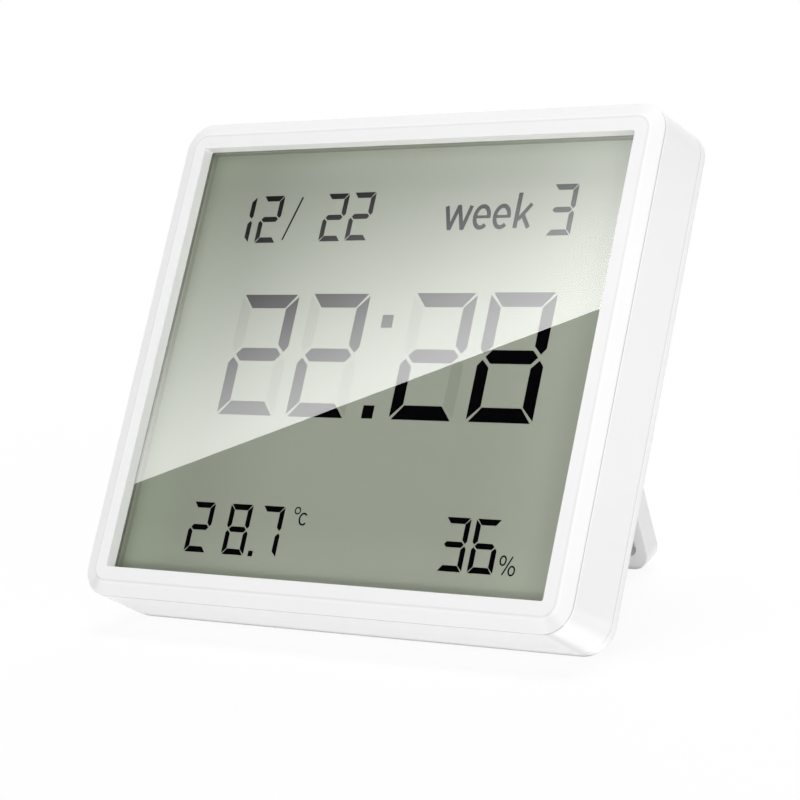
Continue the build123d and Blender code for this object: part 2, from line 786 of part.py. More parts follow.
# Each key has a dished cap, a flange that stops it behind the skin and a stem on its plunger
keys = []
plungers = []
for place in key_places:
    with BuildPart() as key:
        with BuildSketch(at(key_back)):
            with Locations(place):
                Circle(key_radius)
        extrude(amount=key_back - collar_front)
        chamfer(key.edges().group_by(forward)[0], key_edge)
        with BuildSketch(at(key_flange_back)):
            with Locations(place):
                Circle(key_flange_radius)
        extrude(amount=key_flange)
        with BuildSketch(at(collar_front)):
            with Locations(place):
                Circle(key_stem_radius)
        extrude(amount=collar_front - plunger_back)
        with BuildSketch(at(key_back)):
            with Locations(place):
                Circle(key_dish_radius)
        extrude(amount=key_dish, taper=key_dish_slope, mode=Mode.SUBTRACT)
    keys.append(key.part)
    with BuildPart() as plunger:
        with BuildSketch(at(plunger_back)):
            with Locations(place):
                Circle(plunger_radius)
        extrude(amount=plunger_rise + plunger_grip)
    plungers.append(plunger.part)
for name, piece in zip(key_names + plunger_names, keys + plungers):
    piece.label = name

# Coin cell, its two contacts and the turning cap
with BuildPart() as coin_cell:
    with BuildSketch(at(cell_back)):
        with Locations((0, bay_height)):
            Circle(cell_radius)
    extrude(amount=cell_height - cell_lid_step)
    chamfer(coin_cell.edges().group_by(forward)[0], cell_edge)
    with BuildSketch(at(cell_front + cell_lid_step)):
        with Locations((0, bay_height)):
            Circle(cell_lid_radius)
    extrude(amount=cell_lid_step)
coin_cell.part.label = "coin_cell"

leaf_side = Plane(
    origin=face.offset(-board_back).from_local_coords((0, bay_height - leaf_width / 2, 0)),
    x_dir=(1, 0, 0),
    z_dir=face.y_dir,
)
with BuildPart() as negative_contact:
    with BuildSketch(leaf_side):
        with BuildLine():
            Polyline(
                (-leaf_span / 2 - leaf_foot, 0),
                (-leaf_span / 2, 0),
                (-leaf_crown / 2, contact_gap - leaf_thick),
                (leaf_crown / 2, contact_gap - leaf_thick),
                (leaf_span / 2, 0),
                (leaf_span / 2 + leaf_foot, 0),
                (leaf_span / 2 + leaf_foot, leaf_thick),
                (leaf_span / 2, leaf_thick),
                (leaf_crown / 2, contact_gap),
                (-leaf_crown / 2, contact_gap),
                (-leaf_span / 2, leaf_thick),
                (-leaf_span / 2 - leaf_foot, leaf_thick),
                close=True,
            )
        make_face()
    extrude(amount=leaf_width)
negative_contact.part.label = "negative_contact"

clip_inner = cell_radius + slip / 2
with BuildPart() as positive_contact:
    with BuildSketch(at(board_back + clip_rise)):
        with Locations((clip_inner + clip_thick / 2, bay_height)):
            Rectangle(clip_thick, clip_width)
    extrude(amount=clip_rise)
    with BuildSketch(at(board_back + clip_thick)):
        with Locations((clip_inner + clip_foot / 2, bay_height)):
            Rectangle(clip_foot, clip_width)
    extrude(amount=clip_thick)
positive_contact.part.label = "positive_contact"

with BuildPart() as battery_cap:
    with BuildSketch(at(island_depth)):
        with Locations((0, bay_height)):
            Circle(cap_radius)
    extrude(amount=island_depth - cap_front)
    with BuildSketch(at(cap_front + lug_thick)):
        for number in range(lug_count):
            with BuildLine():
                rim = CenterArc((0, bay_height), lug_radius, lug_step * number - lug_angle / 2, lug_angle)
                Line(rim @ 1, (0, bay_height))
                Line((0, bay_height), rim @ 0)
            make_face()
    extrude(amount=lug_thick)
    with BuildSketch(at(cap_front)):
        with Locations((0, bay_height)):
            Circle(cap_press_radius)
    extrude(amount=cap_press)
    with BuildSketch(at(island_depth)):
        with Locations((0, bay_height)):
            SlotOverall(coin_slot_length, coin_slot_width, rotation=90)
    extrude(amount=coin_slot_depth, mode=Mode.SUBTRACT)
battery_cap.part.label = "battery_cap"

# Stand: tray with a rim, a hinge bar with moulded pins, and a flat on the bar that meets the
# upper wall of the recess when the stand is open
stand_side = Plane(
    origin=stand_plane.from_local_coords((-stand_half_width, 0, 0)),
    x_dir=-stand_plane.z_dir,
    z_dir=(1, 0, 0),
)
stop_across = half_thick * sin(opening_angle)
stop_along = half_thick * cos(opening_angle)
stop_corner = half_thick * (1 - sin(opening_angle)) / cos(opening_angle)
with BuildPart(stand_plane) as stand:
    with BuildSketch(stand_plane.offset(-half_thick)):
        with Locations((0, -stand_reach / 2)):
            Rectangle(2 * stand_half_width, stand_reach)
            fillet(vertices().group_by(Axis.Y)[0], stand_corner)
    extrude(amount=stand_thick)
    along = Axis(stand_plane.origin, stand_plane.y_dir)
    through = Axis(stand_plane.origin, stand_plane.z_dir)
    outer_edges = stand.edges().group_by(through)[0].sort_by(along)[:-1]
    inner_edges = stand.edges().group_by(through)[-1].sort_by(along)[:-1]
    fillet(outer_edges, back_round)
    fillet(inner_edges, foot_round)
    with BuildSketch(stand_side):
        Circle(half_thick)
        with BuildLine():
            Polyline(
                (0, 0),
                (stop_across, stop_along),
                (half_thick, stop_corner),
                (half_thick, 0),
                close=True,
            )
        make_face()
    extrude(amount=2 * stand_half_width)
    with BuildSketch(stand_plane.offset(half_thick)):
        with Locations((0, (tray_top + tray_bottom) / 2 - pin_height)):
            Rectangle(2 * tray_half_width, tray_top - tray_bottom)
            fillet(vertices().group_by(Axis.Y)[0], stand_corner - stand_rim)
            fillet(vertices().group_by(Axis.Y)[-1], stand_rim / 2)
    extrude(amount=-(stand_thick - stand_skin), mode=Mode.SUBTRACT)
    with Locations(
        (stand_half_width + pin_length / 2, 0, 0), (-stand_half_width - pin_length / 2, 0, 0)
    ):
        Cylinder(pin_radius, pin_length, rotation=(0, 90, 0))
stand.part.label = "stand"

pieces = [
    front_bezel,
    window_tape,
    display_window,
    window_gasket,
    display_polariser,
    front_glass,
    rear_glass,
    display_reflector,
    zebra_strip,
    display_carrier,
    main_board,
    radio_board,
    radio_shield,
    controller_chip,
    climate_sensor,
    board_parts,
    key_switches,
    body_shell,
    rear_cover,
    cover_screws,
    coin_cell,
    negative_contact,
    positive_contact,
    battery_cap,
    stand,
]
for piece in [holder.part for holder in pieces] + keys + plungers:
    export_step(piece, f"parts/{piece.label}.step")

print(f"lean {degrees(lean):.3f} degrees, face centre at y {face_y:.4f}, z {face_z:.4f}")
print(f"stand pin at y {pin_y:.4f}, z {pin_z:.4f}, depth {pin_depth:.3f}")
print(f"cap centre {tuple(face.from_local_coords((0, bay_height, -island_depth)))}")
print(f"keyhole centre {tuple(face.from_local_coords((0, keyhole_height, -case_depth)))}")
print(f"key stroke clear of the switch by {plunger_rise - key_travel:.2f}")
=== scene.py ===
import json
import math

import bmesh
import bpy
from mathutils import Euler, Matrix, Vector


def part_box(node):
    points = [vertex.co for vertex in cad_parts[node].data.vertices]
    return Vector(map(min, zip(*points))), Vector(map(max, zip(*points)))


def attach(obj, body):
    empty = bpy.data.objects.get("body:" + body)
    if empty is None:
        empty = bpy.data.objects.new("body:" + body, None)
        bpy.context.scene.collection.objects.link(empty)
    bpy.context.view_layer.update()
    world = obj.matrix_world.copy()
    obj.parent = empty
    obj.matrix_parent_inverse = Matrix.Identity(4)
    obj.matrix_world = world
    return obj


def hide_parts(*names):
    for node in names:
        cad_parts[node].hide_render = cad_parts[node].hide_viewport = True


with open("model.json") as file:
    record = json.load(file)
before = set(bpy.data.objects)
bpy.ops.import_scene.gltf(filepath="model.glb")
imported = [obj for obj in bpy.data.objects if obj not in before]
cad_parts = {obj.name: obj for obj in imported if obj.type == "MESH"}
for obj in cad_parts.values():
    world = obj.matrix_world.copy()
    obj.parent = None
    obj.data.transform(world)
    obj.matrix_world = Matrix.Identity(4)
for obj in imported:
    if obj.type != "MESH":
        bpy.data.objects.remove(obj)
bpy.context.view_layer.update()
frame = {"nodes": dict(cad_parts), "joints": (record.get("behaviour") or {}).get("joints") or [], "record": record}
nodes = frame["nodes"]
scene = bpy.context.scene
mm = 0.001
print("stage: frame loaded,", len(nodes), "nodes")

# Directions on the leaning case: front looks out of the face, up runs up the face
joints = {joint["name"]: joint for joint in frame["joints"]}
front = Vector(joints["mode_press"]["axis"]).normalized()
across = Vector((1, 0, 0))
up = front.cross(across)


def plateOf(name):
    # centre, width, height up the face and thickness of a flat piece, from its box and the lean
    low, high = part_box(name)
    size = high - low
    spread = up.z ** 2 - up.y ** 2
    height = (size.z * up.z - size.y * up.y) / spread
    thick = (size.y * up.z - size.z * up.y) / spread
    return (low + high) / 2, size.x, height, thick


windowSunk = 1.91           # front of the window below the flat band, in millimetres
windowCentre, windowWidth, windowHeight, windowThick = plateOf("display_window")
faceCentre = windowCentre + front * (windowSunk * mm + windowThick / 2)


def onCase(x, height, depth):
    # a point of the leaning case in the row frame, from millimetres on the face
    return faceCentre + (across * x + up * height - front * depth) * mm


def depthOf(point):
    return (faceCentre - point).dot(front) / mm


# what is built flat, with x across, y up the face and z out of it, goes onto the case with this
caseTurn = Matrix((across, up, front)).transposed().to_4x4()
caseTurn.translation = faceCentre


filmPlate = plateOf("display_polariser")
filmDepth = depthOf(filmPlate[0]) - filmPlate[3] / 2 / mm


# Shader tools
def newMaterial(name):
    material = bpy.data.materials.new(name)
    material.use_nodes = True
    return material, material.node_tree, material.node_tree.nodes["Principled BSDF"]


def addNode(tree, kind, **values):
    node = tree.nodes.new(kind)
    for key, value in values.items():
        setattr(node, key, value)
    return node


def feed(tree, socket, value):
    # gives a socket a link or a plain value
    if isinstance(value, bpy.types.NodeSocket):
        tree.links.new(value, socket)
    else:
        socket.default_value = value


def mathNode(tree, operation, first, second=0):
    node = addNode(tree, "ShaderNodeMath", operation=operation)
    feed(tree, node.inputs[0], first)
    feed(tree, node.inputs[1], second)
    return node.outputs[0]


def vectorNode(tree, operation, first, second):
    node = addNode(tree, "ShaderNodeVectorMath", operation=operation)
    feed(tree, node.inputs[0], first)
    feed(tree, node.inputs[1], second)
    return node.outputs["Value" if operation == "DOT_PRODUCT" else "Vector"]


def scaleNode(tree, vector, amount):
    node = addNode(tree, "ShaderNodeVectorMath", operation="SCALE")
    tree.links.new(vector, node.inputs[0])
    tree.links.new(amount, node.inputs["Scale"])
    return node.outputs["Vector"]


def rangeNode(tree, value, begins, ends=(0, 1), smooth=True):
    # maps a value from one range to another and keeps it inside
    node = addNode(tree, "ShaderNodeMapRange", interpolation_type="SMOOTHSTEP" if smooth else "LINEAR")
    for label, number in zip(("From Min", "From Max", "To Min", "To Max"), (*begins, *ends)):
        node.inputs[label].default_value = number
    tree.links.new(value, node.inputs["Value"])
    return node.outputs[0]


def mixShader(tree, factor, first, second):
    node = addNode(tree, "ShaderNodeMixShader")
    for socket, value in zip(node.inputs, (factor, first, second)):
        tree.links.new(value, socket)
    return node.outputs[0]


def makeGroup(name, inputs, outputs):
    group = bpy.data.node_groups.new(name, "ShaderNodeTree")
    for label, kind, value in inputs:
        socket = group.interface.new_socket(label, in_out="INPUT", socket_type="NodeSocket" + kind)
        if value is not None:
            socket.default_value = value
    for label, kind in outputs:
        group.interface.new_socket(label, in_out="OUTPUT", socket_type="NodeSocket" + kind)
    return group, group.nodes.new("NodeGroupInput"), group.nodes.new("NodeGroupOutput")


def placeGroup(tree, group, place, **values):
    node = tree.nodes.new("ShaderNodeGroup")
    node.node_tree = group
    tree.links.new(place, node.inputs["Place"])
    for label, value in values.items():
        node.inputs[label].default_value = value
    return node


def objectPlace(tree):
    return tree.nodes.new("ShaderNodeTexCoord").outputs["Object"]


def bumpFrom(tree, height, shader, distance):
    bump = tree.nodes.new("ShaderNodeBump")
    bump.inputs["Distance"].default_value = distance
    tree.links.new(height, bump.inputs["Height"])
    tree.links.new(bump.outputs["Normal"], shader.inputs["Normal"])


def rgb(red, green, blue):
    # a colour written as it shows, from 0 to 255, as the linear colour that a shader takes
    def linear(value):
        value /= 255
        return value / 12.92 if value <= 0.04045 else ((value + 0.055) / 1.055) ** 2.4
    return (linear(red), linear(green), linear(blue), 1)


def buildGrain():
    # grain of a moulded or cast surface: a broad drift of colour and a fine texture
    group, start, end = makeGroup(
        "mouldGrain",
        [("Place", "Vector", None), ("Colour", "Color", (0.8, 0.8, 0.8, 1)),
         ("Drift", "Color", (0.75, 0.75, 0.75, 1)), ("Grain", "Float", 3000.0),
         ("Broad", "Float", 40.0), ("Roughness", "Float", 0.4), ("Spread", "Float", 0.1)],
        [("Colour", "Color"), ("Roughness", "Float"), ("Height", "Float")])
    link = group.links.new
    fine = addNode(group, "ShaderNodeTexNoise")
    fine.inputs["Detail"].default_value = 3
    fine.inputs["Roughness"].default_value = 0.6
    broad = addNode(group, "ShaderNodeTexNoise")
    broad.inputs["Detail"].default_value = 2
    mix = addNode(group, "ShaderNodeMix", data_type="RGBA")
    rough = addNode(group, "ShaderNodeMath", operation="MULTIPLY_ADD")
    for noise, scale in ((fine, "Grain"), (broad, "Broad")):
        link(start.outputs["Place"], noise.inputs["Vector"])
        link(start.outputs[scale], noise.inputs["Scale"])
    link(broad.outputs["Fac"], mix.inputs["Factor"])
    link(start.outputs["Colour"], mix.inputs["A"])
    link(start.outputs["Drift"], mix.inputs["B"])
    # the middle of the noise is 0.5, so less than that makes a spot smoother
    link(mathNode(group, "SUBTRACT", fine.outputs["Fac"], 0.5), rough.inputs[0])
    link(start.outputs["Spread"], rough.inputs[1])
    link(start.outputs["Roughness"], rough.inputs[2])
    link(mix.outputs["Result"], end.inputs["Colour"])
    link(rough.outputs[0], end.inputs["Roughness"])
    link(fine.outputs["Fac"], end.inputs["Height"])
    return group


# The reflection on the window: a bright card in front of it ends on a slanting line
glare = dict(
    lineLeft=(-40.58, -21.19),      # two points of the line on the window's front
    lineRight=(39.24, 8.36),
    times=3.0,                      # card's distance from the mirrored camera over the window's
    reach=45.2,                     # the glow fades to nothing this far above the line
    strength=4.85,
    fade=[(0, 1), (0.05, 0.99), (0.145, 0.87), (0.26, 0.69), (0.35, 0.525), (0.45, 0.36), (0.55, 0.23),
          (0.65, 0.13), (0.8, 0.04), (1, 0)],
    leftShare=(-34, 0.82), rightShare=(30, 1.10),       # x on the window, share of the glow there
    left=-900, right=100, low=-260, high=620,
)
glareLine = [onCase(x, height, windowSunk) for x, height in (glare["lineLeft"], glare["lineRight"])]


def glareUp():
    # direction across the line on the face, towards the glow
    return (glareLine[1] - glareLine[0]).cross(front).normalized() * -1


# The display film, whose colour carries painted shade, painted light and a painted sheen
film = dict(
    # the left colour is darker than the right one: painted shade towards the film's left end
    left=rgb(136, 143, 128), right=rgb(153, 159, 145), paintedSheen=(0.09, 0.087, 0.09, 1),
    leftEnd=-44, rightStart=-8, paintedSheenReach=62.0, paintedSheenPeak=0.42, idleDim=0.87,
    # where the painted light towards each edge begins and ends, and how much it adds against the shade of the
    # opening's walls
    paintedLightLeft=(-28, -41, 0.2), paintedLightRight=(20, 40.5, 0.16),
    paintedLightTop=(24, 35, 0.24), paintedLightBottom=(-24, -35, 0.14),
)


def buildFilm():
    # colour of the display film: painted shade towards its left end, painted light towards its edges, and a
    # painted sheen of the window's glow in a soft diagonal band
    group, start, end = makeGroup(
        "displayFilm",
        [("Place", "Vector", None), ("Left", "Color", film["left"]), ("Right", "Color", film["right"]),
         ("Painted Sheen", "Color", film["paintedSheen"]), ("Dim", "Float", 1.0)],
        [("Colour", "Color")])
    link = group.links.new
    place = start.outputs["Place"]
    split = addNode(group, "ShaderNodeSeparateXYZ")
    link(place, split.inputs[0])
    x = split.outputs["X"]
    height = vectorNode(group, "DOT_PRODUCT", vectorNode(group, "SUBTRACT", place, faceCentre), up)
    base = addNode(group, "ShaderNodeMix", data_type="RGBA")
    link(rangeNode(group, x, (film["leftEnd"] * mm, film["rightStart"] * mm)), base.inputs["Factor"])
    link(start.outputs["Left"], base.inputs["A"])
    link(start.outputs["Right"], base.inputs["B"])
    # painted light towards each edge of the film, against the shade of the opening's walls
    paintedLift = 1
    for source, edge in ((x, "paintedLightLeft"), (x, "paintedLightRight"), (height, "paintedLightTop"), (height, "paintedLightBottom")):
        begin, finish, gain = film[edge]
        paintedLift = mathNode(group, "ADD", rangeNode(group, source, (begin * mm, finish * mm), (0, gain)), paintedLift)
    # painted sheen: a soft band above the window's glow line, added to the film's colour as a painted reflection
    startAt = glareLine[0].dot(glareUp())
    away = rangeNode(group, vectorNode(group, "DOT_PRODUCT", place, glareUp()),
                     (startAt, startAt + film["paintedSheenReach"] * mm), smooth=False)
    ramp = addNode(group, "ShaderNodeValToRGB")
    ramp.color_ramp.interpolation = "EASE"
    setRamp(ramp, [(0, 0), (film["paintedSheenPeak"], 1), (1, 0)])
    add = addNode(group, "ShaderNodeMix", data_type="RGBA", blend_type="ADD")
    dim = addNode(group, "ShaderNodeMix", data_type="RGBA", blend_type="MULTIPLY")
    dim.inputs["Factor"].default_value = 1
    link(away, ramp.inputs[0])
    link(ramp.outputs[0], add.inputs["Factor"])
    link(scaleNode(group, base.outputs["Result"], paintedLift), add.inputs["A"])
    link(start.outputs["Painted Sheen"], add.inputs["B"])
    link(add.outputs["Result"], dim.inputs["A"])
    link(start.outputs["Dim"], dim.inputs["B"])
    link(dim.outputs["Result"], end.inputs["Colour"])
    return group


# Painted shade and painted highlights on the white shell: sizes and places in millimetres on the case
shell = dict(
    bandHalf=(42.69, 37.24), bandCorner=2.19,       # outline of the flat band, where the border begins
    outerFrom=1.5,              # seams are drawn only this far outside that outline
    creaseDepth=0.5,            # the crease is drawn only this near the front
    cornerFrom=1.0,             # depth where the border's corners end and the walls' begin
    recessFrom=-1.9, recessDepths=(0.05, 2.0), recessPaintedLight=0.08,     # painted light on the walls of the opening
    lowFrom=-38.0,              # height under which the lower wall lies
    lines=[
        # kind, its middle (a depth, a distance outside the band or an angle), half width, gain: below 0 a painted
        # shade, above 0 a painted highlight
        ("seam", 1.08, 0.2, -0.42), ("seam", 1.38, 0.17, 0.13),
        ("seam", 11.2, 0.2, -0.24), ("seam", 11.52, 0.18, 0.05), ("seam", 12.45, 0.25, -0.05),
        ("low", 1.3, 0.45, -0.2), ("low", 12.4, 4.5, 0.1),
        ("corner", 22, 16, -0.06), ("corner", 76, 16, -0.16), ("border", 55, 25, -0.09),
        ("crease", 0.02, 0.26, -0.095), ("crease", 0.42, 0.2, 0.03),
    ],
)


def buildShellPaintedLight():
    # painted shade and painted highlights on the white shell along its seams, its lower wall, its lower corners
    # and the crease of the front border, and painted light on the opening's walls: 1 leaves it plain
    group, start, end = makeGroup("shellPaintedLight", [("Place", "Vector", None)], [("Painted Shading", "Float")])
    centred = vectorNode(group, "SUBTRACT", start.outputs["Place"], faceCentre)

    def step(operation, first, second=0):
        return mathNode(group, operation, first, second)

    def along(way):
        return vectorNode(group, "DOT_PRODUCT", centred, way / mm)

    def line(value, centre, half):
        # 1 on the line, falling to 0 at the half width on both sides
        return rangeNode(group, step("ABSOLUTE", step("SUBTRACT", value, centre)), (0, half), (1, 0))

    depth = along(front * -1)
    # signed distance outside the flat band's rounded outline
    corner = shell["bandCorner"]
    overX = step("SUBTRACT", step("ABSOLUTE", along(across)), shell["bandHalf"][0] - corner)
    overY = step("SUBTRACT", step("ABSOLUTE", along(up)), shell["bandHalf"][1] - corner)
    outX, outY = step("MAXIMUM", overX, 0), step("MAXIMUM", overY, 0)
    round2 = step("ADD", step("MULTIPLY", outX, outX), step("MULTIPLY", outY, outY))
    inside = step("MINIMUM", step("MAXIMUM", overX, overY), 0)
    away = step("SUBTRACT", step("ADD", step("SQRT", round2), inside), corner)
    outer = step("GREATER_THAN", away, shell["outerFrom"])
    shallow = step("LESS_THAN", depth, shell["creaseDepth"])
    low = step("LESS_THAN", along(up), shell["lowFrom"])
    first, last = shell["recessDepths"]
    recess = step("MULTIPLY", step("LESS_THAN", away, shell["recessFrom"]),
                  step("MULTIPLY", step("GREATER_THAN", depth, first), step("LESS_THAN", depth, last)))
    # painted light on the walls of the opening
    total = step("MULTIPLY", recess, shell["recessPaintedLight"])
    # round the lower corners the painted shade and painted highlight of reflections goes by the angle, 0 at the
    # side and 90 at the bottom
    angle = step("MULTIPLY", step("ARCTAN2", outY, outX), 180 / math.pi)
    lower = step("LESS_THAN", along(up), 0)
    deep = step("GREATER_THAN", depth, shell["cornerFrom"])
    border = step("MULTIPLY", step("GREATER_THAN", away, 0), step("SUBTRACT", 1, deep))
    for kind, centre, half, gain in shell["lines"]:
        if kind == "seam":
            part = step("MULTIPLY", line(depth, centre, half), outer)
        elif kind == "low":
            part = step("MULTIPLY", line(depth, centre, half), low)
        elif kind in ("corner", "border"):
            where = step("MULTIPLY", deep, outer) if kind == "corner" else border
            part = step("MULTIPLY", line(angle, centre, half), step("MULTIPLY", where, lower))
        else:
            part = step("MULTIPLY", line(away, centre, half), shallow)
        part = step("MULTIPLY", part, gain)
        total = step("ADD", total, part)
    group.links.new(step("ADD", total, 1), end.inputs["Painted Shading"])
    return group


# Painted light on the gasket's front face, which lies in shade, and painted shade on its inner wall's foot and
# upper side
gasket = dict(depths=(2.75, 3.0), frontPaintedLight=1.3, foot=(-34, 4, 0.84), topWallPaintedShade=(34, 35.5, 0.8))


def buildGasketPaintedLight():
    group, start, end = makeGroup("gasketPaintedLight", [("Place", "Vector", None)], [("Painted Shading", "Float")])
    centred = vectorNode(group, "SUBTRACT", start.outputs["Place"], faceCentre)
    depth = vectorNode(group, "DOT_PRODUCT", centred, front * -1 / mm)
    height = vectorNode(group, "DOT_PRODUCT", centred, up / mm)
    # painted light on the front face, then painted shade at the foot and on the upper wall
    paintedShading = rangeNode(group, depth, gasket["depths"], (gasket["frontPaintedLight"], 1))
    low, high, footShade = gasket["foot"]
    begin, finish, topShade = gasket["topWallPaintedShade"]
    for begins, ends in (((low, high), (footShade, 1)), ((begin, finish), (1, topShade))):
        paintedShading = mathNode(group, "MULTIPLY", paintedShading, rangeNode(group, height, begins, ends))
    group.links.new(paintedShading, end.inputs["Painted Shading"])
    return group


def setRamp(node, stops):
    ramp = node.color_ramp
    while len(ramp.elements) < len(stops):
        ramp.elements.new(0.5)
    for element, (position, value) in zip(ramp.elements, stops):
        element.position = position
        element.color = (value, value, value, 1)


# Camera as the photograph was taken, and the studio round it
view = dict(place=(0.239265, -0.319655, 0.104947), turn=(79.6105, 5.9310, 35.8104), lens=119.06)
studio = dict(
    worldLight=0.42, floorSize=8.0, floorOwn=0.10, floorNear=(0.12, 0.3),
    lamps=[
        # round soft lamps aimed at the case
        dict(name="topLamp", place=(0.0, 0.2, 1.2), size=0.6, power=7.5),
        dict(name="sideLamp", place=(0.60, -0.42, 0.12), size=0.25, power=1.1),
        dict(name="lowLamp", place=(0.1, -1.0, 0.08), size=0.2, power=2.37),
        dict(name="rearLamp", place=(-0.35, 1.1, 0.7), size=0.5, power=2.4),
    ],
    bounces=[
        # flat soft lamps just over the table that look up, as its bright top would
        dict(name="bounceRight", place=(0.20, -0.10, 0.001), size=(0.2, 0.25), power=0.145),
        dict(name="bounceFront", place=(0.03, -0.22, 0.001), size=(0.45, 0.3), power=0.036),
        dict(name="bounceBack", place=(0.0, 0.015, 0.0005), size=(0.16, 0.06), power=0.0075),
        dict(name="bounceLine", place=(0.0, -0.022, 0.0005), size=(0.11, 0.02), power=0.0019),
    ],
)


def buildCamera():
    data = bpy.data.cameras.new("camera")
    data.lens = view["lens"]
    data.clip_start = 0.01
    camera = bpy.data.objects.new("camera", data)
    camera.location = view["place"]
    camera.rotation_euler = Euler([math.radians(angle) for angle in view["turn"]])
    scene.collection.objects.link(camera)
    scene.camera = camera


def buildWorld():
    world = bpy.data.worlds.new("studioWorld")
    world.use_nodes = True
    tree = world.node_tree
    light = tree.nodes["Background"]
    seen = addNode(tree, "ShaderNodeBackground")
    for background, strength in ((light, studio["worldLight"]), (seen, 1)):
        background.inputs["Color"].default_value = (1, 1, 1, 1)
        background.inputs["Strength"].default_value = strength
    path = addNode(tree, "ShaderNodeLightPath").outputs
    either = mathNode(tree, "MAXIMUM", path["Is Camera Ray"], path["Is Glossy Ray"])
    anyOf = mathNode(tree, "MAXIMUM", either, path["Is Transmission Ray"])
    surface = mixShader(tree, anyOf, light.outputs[0], seen.outputs[0])
    tree.links.new(surface, tree.nodes["World Output"].inputs["Surface"])
    scene.world = world


def buildLamps():
    def addLamp(lamp, shape, turn):
        data = bpy.data.lights.new(lamp["name"], "AREA")
        data.shape = shape
        data.energy = lamp["power"]
        light = bpy.data.objects.new(lamp["name"], data)
        light.location = lamp["place"]
        light.rotation_euler = turn
        light.visible_camera = False
        scene.collection.objects.link(light)
        return light

    for lamp in studio["lamps"]:
        aim = faceCentre - Vector(lamp["place"])
        light = addLamp(lamp, "DISK", aim.to_track_quat("-Z", "Y").to_euler())
        light.data.size = lamp["size"]
    for lamp in studio["bounces"]:
        light = addLamp(lamp, "RECTANGLE", Euler((math.pi, 0, 0)))
        light.data.size, light.data.size_y = lamp["size"]
        light.visible_glossy = False


def meshObject(name, vertices, faces, material=None):
    mesh = bpy.data.meshes.new(name)
    mesh.from_pydata(vertices, [], faces)
    mesh.update()
    piece = bpy.data.objects.new(name, mesh)
    scene.collection.objects.link(piece)
    if material:
        mesh.materials.append(material)
    return piece


def buildFloor():
    half = studio["floorSize"] / 2
    material, tree, shader = newMaterial("floorWhite")
    place = objectPlace(tree)
    grain = placeGroup(tree, grainGroup, place, Colour=(0.95, 0.95, 0.95, 1),
                       Drift=(0.94, 0.94, 0.94, 1), Grain=400.0, Broad=3.0, Roughness=0.8, Spread=0.1)
    tree.links.new(grain.outputs["Colour"], shader.inputs["Base Color"])
    tree.links.new(grain.outputs["Roughness"], shader.inputs["Roughness"])
    shader.inputs["Specular IOR Level"].default_value = 0
    # white for the camera, with a share of the real shading near the object that keeps its shadow
    reach = addNode(tree, "ShaderNodeVectorMath", operation="LENGTH")
    tree.links.new(place, reach.inputs[0])
    away = rangeNode(tree, reach.outputs["Value"], studio["floorNear"], (1 - studio["floorOwn"], 1))
    path = addNode(tree, "ShaderNodeLightPath").outputs
    share = mathNode(tree, "MULTIPLY", path["Is Camera Ray"], away)
    white = addNode(tree, "ShaderNodeEmission")
    surface = mixShader(tree, share, shader.outputs[0], white.outputs[0])
    tree.links.new(surface, tree.nodes["Material Output"].inputs["Surface"])
    floor = meshObject("floor", [(-half, -half, 0), (half, -half, 0), (half, half, 0), (-half, half, 0)],
                       [(0, 1, 2, 3)], material)


def buildGlareCard():
    # the card is the mirror picture of the glow, seen only by reflections
    eye = Vector(view["place"])
    mirrorEye = eye - front * (2 * (eye - onCase(0, 0, windowSunk)).dot(front))

    def onCard(point):
        return mirrorEye + (point - mirrorEye) * glare["times"]

    lineUp = glareUp()
    startAt = onCard(glareLine[0]).dot(lineUp)
    material, tree, shader = newMaterial("glareCard")
    tree.nodes.remove(shader)
    link = tree.links.new
    place = objectPlace(tree)
    climb = vectorNode(tree, "DOT_PRODUCT", place, lineUp)
    ramp = addNode(tree, "ShaderNodeValToRGB")
    setRamp(ramp, glare["fade"])
    link(rangeNode(tree, climb, (startAt, startAt + glare["reach"] * glare["times"] * mm), smooth=False),
         ramp.inputs[0])
    split = addNode(tree, "ShaderNodeSeparateXYZ")
    link(place, split.inputs[0])
    (leftAt, leftGlow), (rightAt, rightGlow) = glare["leftShare"], glare["rightShare"]
    ends = [onCard(onCase(x, 0, windowSunk)).x for x in (leftAt, rightAt)]
    sideways = rangeNode(tree, split.outputs["X"], ends, (leftGlow, rightGlow), smooth=False)
    power = mathNode(tree, "MULTIPLY", ramp.outputs[0], mathNode(tree, "GREATER_THAN", climb, startAt))
    glow = addNode(tree, "ShaderNodeEmission")
    strength = mathNode(tree, "MULTIPLY", mathNode(tree, "MULTIPLY", power, sideways), glare["strength"])
    link(strength, glow.inputs["Strength"])
    link(glow.outputs[0], tree.nodes["Material Output"].inputs["Surface"])
    depth = depthOf(onCard(onCase(0, 0, windowSunk)))
    corners = [(glare["left"], glare["low"]), (glare["right"], glare["low"]),
               (glare["right"], glare["high"]), (glare["left"], glare["high"])]
    card = meshObject("glareCard", [onCase(x, height, depth) for x, height in corners],
                      [(0, 3, 2, 1)], material)
    card.visible_camera = False
    card.visible_diffuse = False
    card.visible_transmission = False
    card.visible_volume_scatter = False
    card.visible_shadow = False


grainGroup = buildGrain()
filmGroup = buildFilm()
paintedShadingGroups = dict(shell=buildShellPaintedLight(), gasket=buildGasketPaintedLight())
